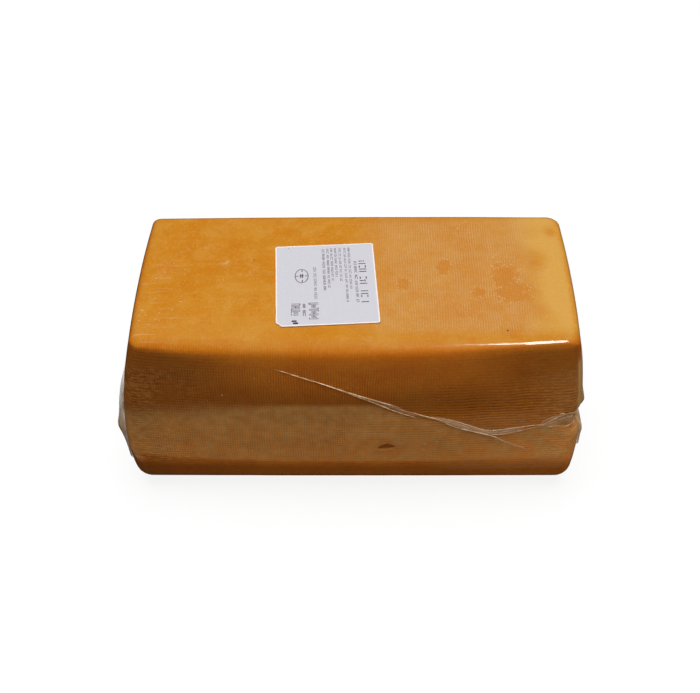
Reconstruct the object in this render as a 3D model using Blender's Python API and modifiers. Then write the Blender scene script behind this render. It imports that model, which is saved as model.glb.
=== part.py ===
"""A loaf of smoked edam cheese, vacuum sealed in clear film, with a paper label on its top.

Metres, +Z up. The loaf's length runs along X and its front faces -Y. It rests on its flat
underside at Z = 0, and the origin is under the middle of the whole object's box.
"""

import math

import bmesh
import bpy
from mathutils import Matrix, Vector

# The loaf's sizes
TOP_LENGTH = 0.2311
TOP_WIDTH = 0.1032
HEIGHT = 0.1086
CORNER_RADIUS = 0.0065  # three of the upright corners, seen from above
CRISP_RADIUS = 0.0036  # the fourth, at the left and the back
TOP_RADIUS = 0.0045  # the edge round the top
SLUMP_RADIUS = 0.0117  # the same edge where the front has slumped most
FOOT_RADIUS = 0.0152  # the edge round the underside
LEAST_CORNER = 0.0008  # what is left of an upright corner's radius where it meets the top

# How far its sides belly out below the top edge, and bow out in plan
LEFT_BULGE = 0.0099
RIGHT_BULGE = 0.0060
LONG_BULGE = 0.0107
END_BOW = 0.0016
FRONT_BOW = 0.0058
BACK_BOW = 0.0010
WIDEST_DOWN = 0.676  # where the belly is widest, as a share of the height below the top
FOOT_PULL = 0.40  # the share of the belly that is gone again at the underside
SLUMP_MIDDLE = -0.12  # the middle and reach of the slumped edge, as shares of the half length
SLUMP_REACH = 0.88

# The groove that a tight fold of film presses into the right front corner
PINCH_DEPTH = 0.0042
PINCH_HEIGHT = 0.0572
PINCH_HALF_WIDTH = 0.0054
PINCH_FRONT_START = 0.86  # where it starts on the front, as a share of the half length
PINCH_END_STOP = 0.10  # where it has faded on the end, as a share of the half width

# The bag's corners, folded flat on the ends: side, facing, low, high, reach and how proud.
# Side is 1 at the right end and facing is 1 at the back. Reach is a share of the half width.
EARS = {
    "ear_left_front": (-1, -1, 0.022, 0.081, 0.62, 0.0036),
    "ear_left_back": (-1, 1, 0.030, 0.086, 0.62, 0.0024),
    "ear_right_high": (1, -1, 0.064, 0.0992, 0.55, 0.0016),
    "ear_right_low": (1, -1, 0.035, 0.0557, 0.50, 0.0016),
    "ear_right_back": (1, 1, 0.030, 0.086, 0.62, 0.0018),
}
EAR_NARROWING = 0.75  # how much narrower an ear is at its upper and lower tips
EAR_FLATTENING = 0.33  # how much flatter it is away from its fullest height
EAR_DROOP = 0.30  # how far below its middle it is fullest, as a share of its half height
EAR_INNER_LIFT = 0.45  # how proud its inner edge is, as a share of its outer one
EAR_CELLS = (4, 6)

# The welded seams across the ends
SEAL_HEIGHT = 0.0095
SEAL_PROUD = 0.0016
SEAL_HALF_SPAN = 0.80  # as a share of the half width
LEFT_SEAL_MIDDLE = 0.058
SEAL_CELLS = (10, 2)

FILM_ROOT = 0.0046  # how deep an ear or a seam is sunk, so that it joins the loaf
FOLD_RADIUS = 0.0011
FOLD_SINK = 0.0004
FOLD_TIP = 0.35  # the fold's radius at its ends, as a share of its full radius
FOLD_FULLNESS = 0.6  # how soon it reaches its full radius; less is sooner

# The long fold over the front, as (x, z) on that face, from its faint start to the right end
FOLD_ROUTE = (
    (-0.042, 0.0976),
    (-0.022, 0.0902),
    (0.000, 0.0812),
    (0.022, 0.0722),
    (0.043, 0.0640),
    (0.061, 0.0570),
    (0.074, 0.0533),
    (0.090, 0.0550),
    (0.104, 0.0572),
    (0.1135, 0.0602),
)
TAIL_ROUTE = ((0.066, 0.0560), (0.0735, 0.0504), (0.082, 0.0449), (0.094, 0.0384))

# The label
LABEL_WIDTH = 0.0541
LABEL_DEPTH = 0.0640
LABEL_THICKNESS = 0.00025
LABEL_GAP = 0.0003
LABEL_CENTRE = (-0.0153, -0.0076)
LABEL_TURN = math.radians(3.4)
LABEL_CORNER = 0.0013
LABEL_CUT = 0.0031  # the one corner that is cut off straight
LABEL_CORNER_STEPS = 4

# How the loaf's grid is spaced
ARC_SHARE = 0.06  # the share of the grid that half of each rounded edge takes
RISE_SHARE = 0.10
ARC_ROWS = 3
LENGTH_ROWS = 20
WIDTH_ROWS = 10
HEIGHT_ROWS = 10
PINCH_ROWS = (-0.0080, -0.0054, -0.0027, 0.0, 0.0027, 0.0054, 0.0080)
CLEAR_OF_PINCH = 0.6  # the room left beside those rows, as a share of their spacing

TOUCHING = 1e-6
SHARP_FROM = math.radians(35)

# Moves the loaf so that the box round everything is centred on the origin
BOX_SHIFT = Vector((0.00241, 0.00214, 0.0))


def ease(share):
    """0 to 1 with a smooth start and stop."""
    share = min(max(share, 0.0), 1.0)
    return share * share * (3 - 2 * share)


def belly(z):
    """The share of the full bulge at a height."""
    down = 1 - z / HEIGHT
    if down < WIDEST_DOWN:
        return 1 - ((down - WIDEST_DOWN) / WIDEST_DOWN) ** 2
    return 1 - FOOT_PULL * ((down - WIDEST_DOWN) / (1 - WIDEST_DOWN)) ** 2


def top_edge_radius(along, on_front):
    """The top edge is crisp, but softer in the middle of the front."""
    if not on_front:
        return TOP_RADIUS
    off = abs(along - SLUMP_MIDDLE) / SLUMP_REACH
    return TOP_RADIUS + (SLUMP_RADIUS - TOP_RADIUS) * max(1 - off**2, 0.0)


def rounded_outline(u, v, half_x, half_y, radius):
    """A point of the outline of a 2 x 2 square, moved to a rectangle with round corners."""
    straight = 1 - ARC_SHARE
    flat_u, flat_v = abs(u), abs(v)
    if flat_u <= straight:
        x, y = flat_u / straight * (half_x - radius), half_y
    elif flat_v <= straight:
        x, y = half_x, flat_v / straight * (half_y - radius)
    else:
        past = flat_v - straight if flat_u >= flat_v else ARC_SHARE + 1 - flat_u
        turn = math.radians(45) * past / ARC_SHARE
        x = half_x - radius + radius * math.cos(turn)
        y = half_y - radius + radius * math.sin(turn)
    return math.copysign(x, u), math.copysign(y, v)


def edge_turn(reach, rise):
    """How far round its rounded edge a point is: 0 on a side, a right angle on the top."""
    if rise < 1 - RISE_SHARE:
        return 0.0
    if reach > 1 - TOUCHING:
        return math.radians(45) * (rise - 1 + RISE_SHARE) / RISE_SHARE
    return math.radians(45) * (1 + min((1 - reach) / ARC_SHARE, 1.0))


def pinch(along, across, z):
    """How deep the tight fold presses in at a place."""
    at_front = ease((along - PINCH_FRONT_START) / (1 - PINCH_FRONT_START))
    at_end = ease((-across - PINCH_END_STOP) / (1 - PINCH_END_STOP))
    return PINCH_DEPTH * at_front * at_end * math.exp(-(((z - PINCH_HEIGHT) / PINCH_HALF_WIDTH) ** 2))


def loaf_point(u, v, w):
    """Where a point on the surface of a 2 x 2 x 2 cube lies on the loaf."""
    reach = max(abs(u), abs(v), TOUCHING)
    side_u, side_v = u / reach, v / reach
    top_radius = top_edge_radius(side_u, side_v < -1 + TOUCHING)
    radius = top_radius if w > 0 else FOOT_RADIUS
    turn = edge_turn(reach, abs(w))
    inset = radius * (1 - math.cos(turn))
    sunk = radius * (1 - math.sin(turn))
    if abs(w) < 1 - RISE_SHARE:
        share = (w / (1 - RISE_SHARE) + 1) / 2
        z = FOOT_RADIUS + share * (HEIGHT - top_radius - FOOT_RADIUS)
    else:
        z = HEIGHT - sunk if w > 0 else sunk

    half_x, half_y = TOP_LENGTH / 2 - inset, TOP_WIDTH / 2 - inset
    corner = CRISP_RADIUS if side_u < 0 < side_v else CORNER_RADIUS
    corner = max(corner - inset / 2, LEAST_CORNER)
    x, y = rounded_outline(side_u, side_v, half_x, half_y, corner)
    if abs(w) > 1 - TOUCHING:
        inward = min(reach / (1 - ARC_SHARE), 1.0)
        x, y = x * inward, y * inward

    along, across = x / half_x, y / half_y
    end_bulge = LEFT_BULGE if along < 0 else RIGHT_BULGE
    bow = FRONT_BOW * ease(z / (HEIGHT / 2)) if across < 0 else BACK_BOW
    pressed = pinch(along, across, z)
    x += along * (end_bulge * belly(z) + END_BOW * (1 - across**2)) - pressed
    y += across * (LONG_BULGE * belly(z) + bow * (1 - along**2)) + pressed
    return Vector((x, y, z)) + BOX_SHIFT


def front_point(x, z):
    """The point of the front face at this x and z."""
    bulge = LEFT_BULGE if x < 0 else RIGHT_BULGE
    along = x / (TOP_LENGTH / 2 + bulge * belly(z))
    out = LONG_BULGE * belly(z) + FRONT_BOW * ease(z / (HEIGHT / 2)) * (1 - along**2)
    return Vector((x, pinch(along, -1, z) - TOP_WIDTH / 2 - out, z)) + BOX_SHIFT


def even_rows(share, middle_rows):
    """Grid lines over -1 to 1: some in each rounded edge, and even ones between."""
    edge = [-1 + share * (row + 1) / ARC_ROWS for row in range(ARC_ROWS)]
    span = 2 * (1 - share)
    middle = [-1 + share + span * (row + 1) / middle_rows for row in range(middle_rows - 1)]
    return edge + middle + [-place for place in edge]


def height_rows():
    """Grid lines up the loaf, with close ones where the corner is pinched."""
    low, span = FOOT_RADIUS, HEIGHT - TOP_RADIUS - FOOT_RADIUS
    close = [
        ((PINCH_HEIGHT + step - low) / span * 2 - 1) * (1 - RISE_SHARE) for step in PINCH_ROWS
    ]
    clear = CLEAR_OF_PINCH * (close[1] - close[0])
    wide = [
        row
        for row in even_rows(RISE_SHARE, HEIGHT_ROWS)
        if row < close[0] - clear or row > close[-1] + clear
    ]
    return sorted(wide + close)


def new_collection(name):
    collection = bpy.data.collections.new(name)
    bpy.context.scene.collection.children.link(collection)
    return collection


def new_object(name, data, collection):
    piece = bpy.data.objects.new(name, data)
    collection.objects.link(piece)
    return piece


def new_material(name, colour, roughness):
    material = bpy.data.materials.new(name)
    material.use_nodes = True
    shader = material.node_tree.nodes["Principled BSDF"]
    shader.inputs["Base Color"].default_value = (*colour, 1.0)
    shader.inputs["Roughness"].default_value = roughness
    shader.inputs["Metallic"].default_value = 0.0
    return material


def evaluated_mesh(piece, name):
    """The object's mesh with its modifiers applied."""
    seen = piece.evaluated_get(bpy.context.evaluated_depsgraph_get())
    mesh = bpy.data.meshes.new_from_object(seen)
    mesh.name = name
    return mesh


def make_loaf(collection):
    """A cube cut into a grid, each point of which is moved to its place on the loaf."""
    bm = bmesh.new()
    bmesh.ops.create_cube(bm, size=2)
    cuts = (
        (Vector((1, 0, 0)), even_rows(ARC_SHARE, LENGTH_ROWS)),
        (Vector((0, 1, 0)), even_rows(ARC_SHARE, WIDTH_ROWS)),
        (Vector((0, 0, 1)), height_rows()),
    )
    for axis, places in cuts:
        for place in places:
            everything = bm.verts[:] + bm.edges[:] + bm.faces[:]
            bmesh.ops.bisect_plane(bm, geom=everything, plane_co=axis * place, plane_no=axis)
    for corner in bm.verts:
        corner.co = loaf_point(*corner.co)
    mesh = bpy.data.meshes.new("loaf")
    bm.to_mesh(mesh)
    bm.free()
    return new_object("loaf", mesh, collection)


def make_patch(name, collection, cells, place):
    """A patch of thick film: a grid moved by place(across, up), then made solid inwards."""
    bm = bmesh.new()
    bmesh.ops.create_grid(bm, x_segments=cells[0], y_segments=cells[1], size=1)
    for corner in bm.verts:
        corner.co = place(corner.co.x, corner.co.y)
    mesh = bpy.data.meshes.new(name)
    bm.to_mesh(mesh)
    bm.free()
    patch = new_object(name, mesh, collection)
    solid = patch.modifiers.new("Solidify", "SOLIDIFY")
    solid.thickness = FILM_ROOT
    solid.offset = -1
    return patch


def height_to_w(z):
    """The cube coordinate of a height on the loaf's sides."""
    share = (z - FOOT_RADIUS) / (HEIGHT - TOP_RADIUS - FOOT_RADIUS)
    return (2 * share - 1) * (1 - RISE_SHARE)


def end_point(side, across, z, proud):
    """A point this far out from one end face. Side is 1 at the right end and -1 at the left."""
    place = loaf_point(side, across, height_to_w(z))
    return place + Vector((side * proud, 0, 0))


def make_ear(name, collection, side, facing, low, high, reach, proud):
    """A corner of the bag, folded flat on an end face against its front or back corner."""
    outer = 1 - ARC_SHARE / 2

    def place(across, up):
        share = (across * side * facing + 1) / 2
        width = reach * (1 - EAR_NARROWING * up**2)
        z = low + (high - low) * (up + 1) / 2
        lift = EAR_INNER_LIFT + (1 - EAR_INNER_LIFT) * share
        lift *= proud * (1 - EAR_FLATTENING * (up + EAR_DROOP) ** 2)
        return end_point(side, facing * (outer - width * (1 - share)), z, lift)

    return make_patch(name, collection, EAR_CELLS, place)


def make_seal(name, collection, side, height):
    """The welded seam across one end, folded flat on it."""

    def place(across, up):
        z = height + SEAL_HEIGHT / 2 * up
        return end_point(side, SEAL_HALF_SPAN * across * side, z, SEAL_PROUD)

    return make_patch(name, collection, SEAL_CELLS, place)


def make_fold(name, collection, route):
    """A raised fold of film that follows the front face, thin at its ends."""
    guide = [front_point(x, z) for x, z in route]
    curve = bpy.data.curves.new(name, "CURVE")
    curve.dimensions = "3D"
    curve.bevel_depth = FOLD_RADIUS
    curve.bevel_resolution = 2
    curve.use_fill_caps = True
    spline = curve.splines.new("POLY")
    spline.points.add(len(guide) - 1)
    for index, (point, place) in enumerate(zip(spline.points, guide)):
        share = index / (len(guide) - 1)
        point.co = (place.x, place.y + FOLD_SINK, place.z, 1)
        point.radius = FOLD_TIP + (1 - FOLD_TIP) * math.sin(math.pi * share) ** FOLD_FULLNESS
    tube = new_object(name + "_curve", curve, collection)
    mesh = evaluated_mesh(tube, name)
    bm = bmesh.new()
    bm.from_mesh(mesh)
    bmesh.ops.remove_doubles(bm, verts=bm.verts, dist=TOUCHING)
    bm.to_mesh(mesh)
    bm.free()
    bpy.data.objects.remove(tube)
    return new_object(name, mesh, collection)


def join_solids(base, extras):
    """Fuses every object of a collection with the base, then removes them."""
    union = base.modifiers.new("Union", "BOOLEAN")
    union.operation = "UNION"
    union.operand_type = "COLLECTION"
    union.collection = extras
    bpy.context.view_layer.update()
    joined = evaluated_mesh(base, base.name)
    base.modifiers.clear()
    base.data = joined
    for piece in list(extras.objects):
        bpy.data.objects.remove(piece)
    bpy.data.collections.remove(extras)


def make_pack(collection):
    """The sealed loaf: the cheese with the film's ears, seams and folds fused on."""
    pack = make_loaf(collection)
    pack.name = "sealed_pack"
    film = new_collection("film_scraps")
    for name, sizes in EARS.items():
        make_ear(name, film, *sizes)
    make_seal("seal_left", film, -1, LEFT_SEAL_MIDDLE)
    make_seal("seal_right", film, 1, PINCH_HEIGHT)
    make_fold("front_fold", film, FOLD_ROUTE)
    make_fold("front_tail", film, TAIL_ROUTE)
    join_solids(pack, film)
    pack.data.materials.append(new_material("smoked_cheese_in_film", (0.62, 0.24, 0.03), 0.35))
    pack.data.shade_smooth()
    pack.data.set_sharp_from_angle(angle=SHARP_FROM)
    return pack


def label_outline():
    """The label's outline from its middle: three round corners and one cut off straight."""
    half_x, half_y = LABEL_WIDTH / 2, LABEL_DEPTH / 2
    outline = [(-half_x, -half_y + LABEL_CUT), (-half_x + LABEL_CUT, -half_y)]
    for side_x, side_y, start in ((1, -1, -90), (1, 1, 0), (-1, 1, 90)):
        for step in range(LABEL_CORNER_STEPS + 1):
            turn = math.radians(start + 90 * step / LABEL_CORNER_STEPS)
            x = side_x * (half_x - LABEL_CORNER) + LABEL_CORNER * math.cos(turn)
            y = side_y * (half_y - LABEL_CORNER) + LABEL_CORNER * math.sin(turn)
            outline.append((x, y))
    return outline


def make_label(collection):
    """A thin card on the loaf's top."""
    curve = bpy.data.curves.new("label", "CURVE")
    curve.dimensions = "2D"
    curve.fill_mode = "BOTH"
    curve.extrude = LABEL_THICKNESS / 2
    outline = label_outline()
    spline = curve.splines.new("POLY")
    spline.points.add(len(outline) - 1)
    spline.use_cyclic_u = True
    for point, (x, y) in zip(spline.points, outline):
        point.co = (x, y, 0, 1)
    label = new_object("label", curve, collection)
    height = HEIGHT + LABEL_GAP + LABEL_THICKNESS / 2
    place = Vector((*LABEL_CENTRE, height)) + BOX_SHIFT
    label.matrix_world = Matrix.Translation(place) @ Matrix.Rotation(LABEL_TURN, 4, "Z")
    curve.materials.append(new_material("label_paper", (0.80, 0.79, 0.82), 0.6))
    return label


def main():
    for old in list(bpy.data.objects):
        bpy.data.objects.remove(old)
    cheese = new_collection("smoked_cheese_pack")
    make_pack(cheese)
    make_label(cheese)


main()
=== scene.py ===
"""Looks for a loaf of smoked cheese, vacuum sealed in clear film, with a paper label on its top.

Metres, +Z up. The loaf's length runs along X and its front faces -Y. The functions for the
loaf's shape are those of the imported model, on a finer grid. Places on the loaf are given in
millimetres from the middle of its underside, and turned into metres where they are used.
"""

import math
import random

import bpy
import numpy as np
from mathutils import Matrix, Vector, noise


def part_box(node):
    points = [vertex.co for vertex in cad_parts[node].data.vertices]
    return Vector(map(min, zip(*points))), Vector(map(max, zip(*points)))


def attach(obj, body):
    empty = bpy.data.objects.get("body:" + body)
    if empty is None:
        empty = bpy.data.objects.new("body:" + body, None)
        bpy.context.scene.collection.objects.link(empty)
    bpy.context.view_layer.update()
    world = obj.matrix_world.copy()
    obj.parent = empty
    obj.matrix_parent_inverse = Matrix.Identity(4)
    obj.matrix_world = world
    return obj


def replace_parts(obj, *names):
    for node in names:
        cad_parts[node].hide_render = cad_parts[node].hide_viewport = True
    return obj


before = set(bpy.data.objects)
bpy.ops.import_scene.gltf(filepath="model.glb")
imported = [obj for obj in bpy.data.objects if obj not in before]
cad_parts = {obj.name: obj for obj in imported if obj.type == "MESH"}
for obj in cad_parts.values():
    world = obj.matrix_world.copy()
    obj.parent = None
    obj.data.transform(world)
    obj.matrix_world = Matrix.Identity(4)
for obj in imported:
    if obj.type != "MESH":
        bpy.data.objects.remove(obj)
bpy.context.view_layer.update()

MM = 0.001
TOUCHING = 1e-6

# The loaf's sizes
TOP_LENGTH = 0.2311
TOP_WIDTH = 0.1032
HEIGHT = 0.1086
CORNER_RADIUS = 0.0065
CRISP_RADIUS = 0.0036  # the left back corner's
TOP_RADIUS = 0.0045
SLUMP_RADIUS = 0.0117
FOOT_RADIUS = 0.0152
LEAST_CORNER = 0.0008
LEFT_BULGE = 0.0099
RIGHT_BULGE = 0.006
LONG_BULGE = 0.0107
END_BOW = 0.0016
FRONT_BOW = 0.0058
BACK_BOW = 0.001
WIDEST_DOWN = 0.676
FOOT_PULL = 0.4
SLUMP_MIDDLE = -0.12
SLUMP_REACH = 0.88
PINCH_DEPTH = 0.0042
PINCH_HEIGHT = 0.0572
PINCH_HALF_WIDTH = 0.0054
PINCH_FRONT_START = 0.86
PINCH_END_STOP = 0.1
BRIDGED = 0.4  # how deep the gathered film lies in the pinch, as a share of its depth
LOAF_SHIFT = np.array((0.00241, 0.00214, 0))  # from the loaf's middle to the object's

# How the loaf's grid is spaced
ARC_SHARE = 0.06
RISE_SHARE = 0.1
ARC_ROWS = 5
GRID_ROWS = (180, 80, 86)
CROWDING = 0.45  # how much closer the rows are near the ends than in the middle

FILM_DEPTH = 0.00012  # how far the film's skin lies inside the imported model's surface
CHEESE_DEPTH = 0.00032

# The camera, from the outline of the loaf in the photograph
IMAGE_WIDTH = 700
FOCAL_PIXELS = 1140.8
SENSOR_WIDTH = 36
CAMERA_PLACE = (0.00936, -0.4614, 0.51723)
CAMERA_RIGHT = (0.99988, 0.00998, -0.01202)
CAMERA_UP = (0.00144, 0.70721, 0.707)


def ease(share):
    """0 to 1 with a smooth start and stop."""
    share = np.clip(share, 0, 1)
    return share * share * (3 - 2 * share)


def belly(z):
    """The share of the full bulge at a height."""
    down = 1 - z / HEIGHT
    above = 1 - ((down - WIDEST_DOWN) / WIDEST_DOWN) ** 2
    below = 1 - FOOT_PULL * ((down - WIDEST_DOWN) / (1 - WIDEST_DOWN)) ** 2
    return np.where(down < WIDEST_DOWN, above, below)


def top_edge_radius(along, on_front):
    """The top edge is crisp, but softer in the middle of the front."""
    off = abs(along - SLUMP_MIDDLE) / SLUMP_REACH
    soft = TOP_RADIUS + (SLUMP_RADIUS - TOP_RADIUS) * np.maximum(1 - off**2, 0)
    return np.where(on_front, soft, TOP_RADIUS)


def rounded_outline(u, v, half_x, half_y, radius):
    """Points of the outline of a 2 x 2 square, moved to a rectangle with round corners."""
    straight = 1 - ARC_SHARE
    flat_u, flat_v = abs(u), abs(v)
    past = np.where(flat_u >= flat_v, flat_v - straight, ARC_SHARE + 1 - flat_u)
    turn = math.radians(45) * past / ARC_SHARE
    x = half_x - radius + radius * np.cos(turn)
    y = half_y - radius + radius * np.sin(turn)
    on_long = flat_u <= straight
    on_short = ~on_long & (flat_v <= straight)
    x = np.where(on_long, flat_u / straight * (half_x - radius), np.where(on_short, half_x, x))
    y = np.where(on_short, flat_v / straight * (half_y - radius), np.where(on_long, half_y, y))
    return np.copysign(x, u), np.copysign(y, v)


def edge_turn(reach, rise):
    """How far round its rounded edge a point is: 0 on a side, a right angle on the top."""
    side = math.radians(45) * (rise - 1 + RISE_SHARE) / RISE_SHARE
    flat = math.radians(45) * (1 + np.minimum((1 - reach) / ARC_SHARE, 1))
    return np.where(rise < 1 - RISE_SHARE, 0, np.where(reach > 1 - TOUCHING, side, flat))


def pinch(along, across, z):
    """How deep the tight fold presses in at a place."""
    at_front = ease((along - PINCH_FRONT_START) / (1 - PINCH_FRONT_START))
    at_end = ease((-across - PINCH_END_STOP) / (1 - PINCH_END_STOP))
    return PINCH_DEPTH * at_front * at_end * np.exp(-(((z - PINCH_HEIGHT) / PINCH_HALF_WIDTH) ** 2))


def loaf_points(cube, pinched=1):
    """Where points on the surface of a 2 x 2 x 2 cube lie on the loaf."""
    u, v, w = cube.T
    reach = np.maximum(np.maximum(abs(u), abs(v)), TOUCHING)
    side_u, side_v = u / reach, v / reach
    top_radius = top_edge_radius(side_u, side_v < -1 + TOUCHING)
    radius = np.where(w > 0, top_radius, FOOT_RADIUS)
    turn = edge_turn(reach, abs(w))
    inset = radius * (1 - np.cos(turn))
    sunk = radius * (1 - np.sin(turn))
    share = (w / (1 - RISE_SHARE) + 1) / 2
    on_side = FOOT_RADIUS + share * (HEIGHT - top_radius - FOOT_RADIUS)
    z = np.where(abs(w) < 1 - RISE_SHARE, on_side, np.where(w > 0, HEIGHT - sunk, sunk))

    half_x, half_y = TOP_LENGTH / 2 - inset, TOP_WIDTH / 2 - inset
    corner = np.where((side_u < 0) & (side_v > 0), CRISP_RADIUS, CORNER_RADIUS)
    corner = np.maximum(corner - inset / 2, LEAST_CORNER)
    x, y = rounded_outline(side_u, side_v, half_x, half_y, corner)
    inward = np.where(abs(w) > 1 - TOUCHING, np.minimum(reach / (1 - ARC_SHARE), 1), 1)
    x, y = x * inward, y * inward

    along, across = x / half_x, y / half_y
    end_bulge = np.where(along < 0, LEFT_BULGE, RIGHT_BULGE)
    bow = np.where(across < 0, FRONT_BOW * ease(z / (HEIGHT / 2)), BACK_BOW)
    pressed = pinched * pinch(along, across, z)
    x = x + along * (end_bulge * belly(z) + END_BOW * (1 - across**2)) - pressed
    y = y + across * (LONG_BULGE * belly(z) + bow * (1 - along**2)) + pressed
    return np.stack((x, y, z), axis=1) + LOAF_SHIFT


def rows(share, middle_rows):
    """Grid lines over -1 to 1: some in each rounded edge, and closer ones near both ends."""
    edge = np.linspace(-1, -1 + share, ARC_ROWS + 1)[:-1]
    even = np.linspace(-1, 1, middle_rows + 1)
    middle = (1 - share) * ((1 - CROWDING) * even + CROWDING * np.sin(even * math.pi / 2))
    return np.concatenate((edge, middle, -edge[::-1]))


def cube_shell(lines):
    """The surface of a 2 x 2 x 2 cube cut along these lines: its points and its faces."""
    places, faces = {}, []
    for axis in range(3):
        first, second = (axis + 1) % 3, (axis + 2) % 3
        for end in (0, len(lines[axis]) - 1):
            for i in range(len(lines[first]) - 1):
                for j in range(len(lines[second]) - 1):
                    ring = [(i, j), (i + 1, j), (i + 1, j + 1), (i, j + 1)]
                    face = []
                    for a, b in ring if end else reversed(ring):
                        key = [0, 0, 0]
                        key[axis], key[first], key[second] = end, a, b
                        face.append(places.setdefault(tuple(key), len(places)))
                    faces.append(face)
    points = [[lines[axis][key[axis]] for axis in range(3)] for key in places]
    return np.array(points), faces


def surface_normals(points, faces):
    """Each point's normal, from the faces round it."""
    corners = points[np.array(faces)]
    across = np.cross(corners[:, 2] - corners[:, 0], corners[:, 3] - corners[:, 1])
    normals = np.zeros_like(points)
    for column in np.array(faces).T:
        np.add.at(normals, column, across)
    return normals / np.linalg.norm(normals, axis=1)[:, None]


def noise_values(points, scale, seed):
    """Smooth noise from about -1 to 1 at each point."""
    offset = Vector((seed * 7.3, seed * 3.1, seed * 5.7))
    return np.array([noise.noise(Vector(point) * scale + offset) for point in points])


def millimetres(points):
    """The x, y and z of points, in millimetres from the middle of the loaf's underside."""
    return (points - LOAF_SHIFT).T / MM


def add_object(name, data):
    thing = bpy.data.objects.new(name, data)
    bpy.context.scene.collection.objects.link(thing)
    return thing


def new_piece(name, points, faces, material, slot="cheese_in_film", **values):
    """A smooth mesh object on the root body, with numbers at its points for its material."""
    mesh = bpy.data.meshes.new(name)
    mesh.from_pydata([tuple(point) for point in points], [], faces)
    mesh.materials.append(material)
    mesh.shade_smooth()
    for label, numbers in values.items():
        attribute = mesh.attributes.new(label, "FLOAT", "POINT")
        attribute.data.foreach_set("value", np.asarray(numbers, dtype=np.float32))
    piece = add_object(name, mesh)
    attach(piece, "root")
    return piece


class Value:
    """What a node gives, for formulas such as a * b + 1."""

    def __init__(self, graph, socket):
        self.graph, self.socket = graph, socket

    def __mul__(self, other):
        return self.graph.math("MULTIPLY", self, other)

    def __add__(self, other):
        return self.graph.math("ADD", self, other)

    def __abs__(self):
        return self.graph.math("ABSOLUTE", self)

    def step(self, low, high, start=0, end=1):
        """From start to end, smoothly, as this goes from low to high."""
        inputs = {"Value": self, 1: low, 2: high, 3: start, 4: end}
        return self.graph.node("ShaderNodeMapRange", inputs, interpolation_type="SMOOTHSTEP")


class Graph:
    """The nodes of a material or of the world, added and joined by short calls."""

    def __init__(self, name, kind="materials", shader="Principled BSDF"):
        self.owner = getattr(bpy.data, kind).new(name)
        self.owner.use_nodes = True
        self.tree = self.owner.node_tree
        self.shader = self.tree.nodes[shader]
        self.place = self.node("ShaderNodeTexCoord", output="Object")
        self.colour = None

    def set(self, socket, value):
        if isinstance(value, Value):
            self.tree.links.new(value.socket, socket)
        elif isinstance(value, tuple) and len(value) == 3 and len(socket.default_value) == 4:
            socket.default_value = (*value, 1)
        else:
            socket.default_value = value

    def node(self, kind, inputs=None, output=0, **settings):
        """Adds a node and returns one of its outputs."""
        node = self.tree.nodes.new(kind)
        for name, value in settings.items():
            setattr(node, name, value)
        for key, value in (inputs or {}).items():
            self.set(node.inputs[key], value)
        return Value(self, node.outputs[output])

    def math(self, operation, *values):
        return self.node("ShaderNodeMath", dict(enumerate(values)), operation=operation)

    def value(self, name):
        return self.node("ShaderNodeAttribute", output="Fac", attribute_name=name)

    def part(self, vector, index):
        return self.node("ShaderNodeSeparateXYZ", {0: vector}, index)

    def mix(self, share, first, second):
        return self.node("ShaderNodeMix", {0: share, 6: first, 7: second}, 2, data_type="RGBA")

    def paint(self, tint, *shares):
        """Mixes a tint into the colour so far, by the product of these shares."""
        self.colour = self.mix(math.prod(shares[1:], start=shares[0]), self.colour, tint)

    def noise(self, scale, detail=3, roughness=0.5, distortion=0, place=None):
        """Noise over the object's own space. The scale may be one for each axis."""
        place = place or self.place
        if isinstance(scale, tuple):
            place = self.node("ShaderNodeMapping", {"Vector": place, "Scale": scale})
            scale = 1
        inputs = {"Vector": place, "Scale": scale, "Detail": detail}
        inputs.update({"Roughness": roughness, "Distortion": distortion})
        return self.node("ShaderNodeTexNoise", inputs, "Fac")

    def bump(self, height, distance):
        return self.node("ShaderNodeBump", {"Height": height, "Distance": distance})

    def finish(self, **sockets):
        """Sets the shader's sockets, and returns the material."""
        for name, value in sockets.items():
            self.set(self.shader.inputs[name.replace("_", " ").title().replace("Ior", "IOR")], value)
        return self.owner


# The print that the cheese cloth left: how far apart its threads are along X, Y and Z
THREAD_PITCHES = (0.00135, 0.00125, 0.0018)
THREAD_WANDER = 0.0022


def cloth_print(graph):
    """How high on a thread of the cloth's print a point is, and how deep between two."""
    wander = graph.noise(60, 2) * THREAD_WANDER
    patchy = graph.noise(190, 3, 0.65).step(0.36, 0.64, 0.25, 1)
    thread, gap = 0, 0
    for index, axis in enumerate("xyz"):
        strength = graph.value("thread_" + axis) * patchy
        turn = (graph.part(graph.place, index) + wander) * (2 * math.pi / THREAD_PITCHES[index])
        wave = graph.math("SINE", turn) * 0.5 + 0.5
        thread = graph.math("MAXIMUM", thread, wave * strength)
        gap = graph.math("MAXIMUM", gap, (wave * -1 + 1) * strength)
    return thread, gap


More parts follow.
